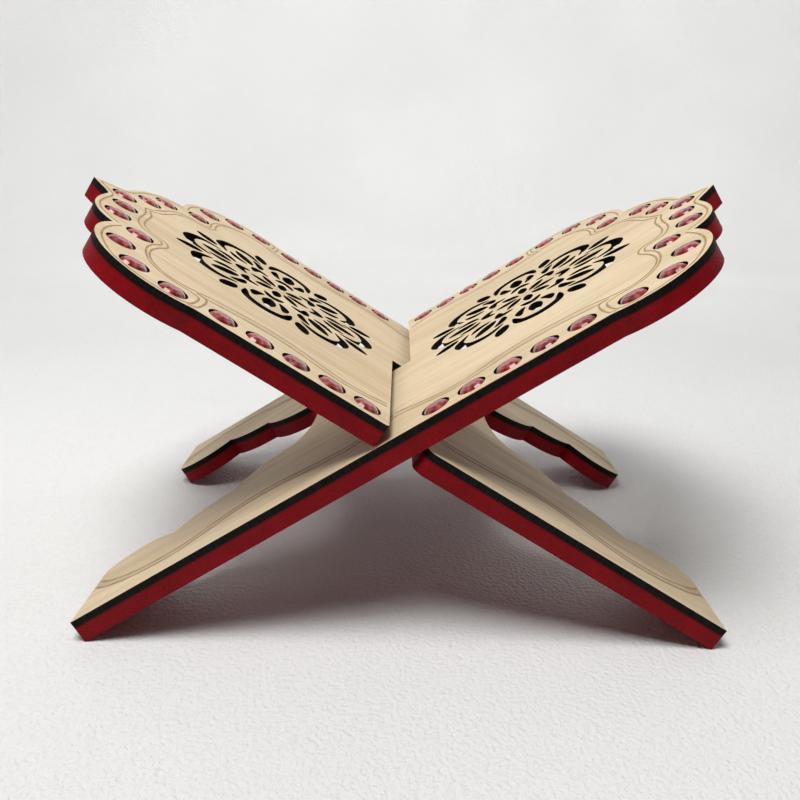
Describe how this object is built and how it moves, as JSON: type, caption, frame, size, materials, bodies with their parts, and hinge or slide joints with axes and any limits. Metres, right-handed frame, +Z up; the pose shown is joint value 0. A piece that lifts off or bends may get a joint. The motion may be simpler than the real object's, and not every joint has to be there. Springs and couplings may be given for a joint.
{
  "type": "folding book stand",
  "caption": "Two-board X-shaped folding book stand with scalloped leaves, pierced medallions and round red gem inlays.",
  "frame": {"origin": "on the floor, under the middle of the open stand", "axes": "+X to the reader's right, +Y away from the reader, +Z up; the boards cross along the Y axis"},
  "size_m": [0.3044, 0.2046, 0.1814],
  "materials": {
    "face_sheet": "pale unvarnished plywood sheet with dark heat-cut edges",
    "red_board": "satin crimson paint",
    "gem": "polished red cabochon"
  },
  "bodies": {
    "right_leaf_board": {"right_red_board": "red_board", "right_face_sheet": "face_sheet", "right_gem_01": "gem", "right_gem_02": "gem", "right_gem_03": "gem", "right_gem_04": "gem", "right_gem_05": "gem", "right_gem_06": "gem", "right_gem_07": "gem", "right_gem_08": "gem", "right_gem_09": "gem", "right_gem_10": "gem", "right_gem_11": "gem", "right_gem_12": "gem", "right_gem_13": "gem", "right_gem_14": "gem", "right_gem_15": "gem", "right_gem_16": "gem", "right_gem_17": "gem", "right_gem_18": "gem", "right_gem_19": "gem", "right_gem_20": "gem", "right_gem_21": "gem", "right_gem_22": "gem", "right_gem_23": "gem"},
    "left_leaf_board": {"left_red_board": "red_board", "left_face_sheet": "face_sheet", "left_gem_01": "gem", "left_gem_02": "gem", "left_gem_03": "gem", "left_gem_04": "gem", "left_gem_05": "gem", "left_gem_06": "gem", "left_gem_07": "gem", "left_gem_08": "gem", "left_gem_09": "gem", "left_gem_10": "gem", "left_gem_11": "gem", "left_gem_12": "gem", "left_gem_13": "gem", "left_gem_14": "gem", "left_gem_15": "gem", "left_gem_16": "gem", "left_gem_17": "gem", "left_gem_18": "gem", "left_gem_19": "gem", "left_gem_20": "gem", "left_gem_21": "gem", "left_gem_22": "gem", "left_gem_23": "gem"}
  },
  "joints": [
    {"name": "fold", "type": "hinge", "parent": "right_leaf_board", "child": "left_leaf_board", "pos_m": [0, 0, 0.08439], "axis": [0, 1, 0], "range_deg": [0, 52]}
  ]
}
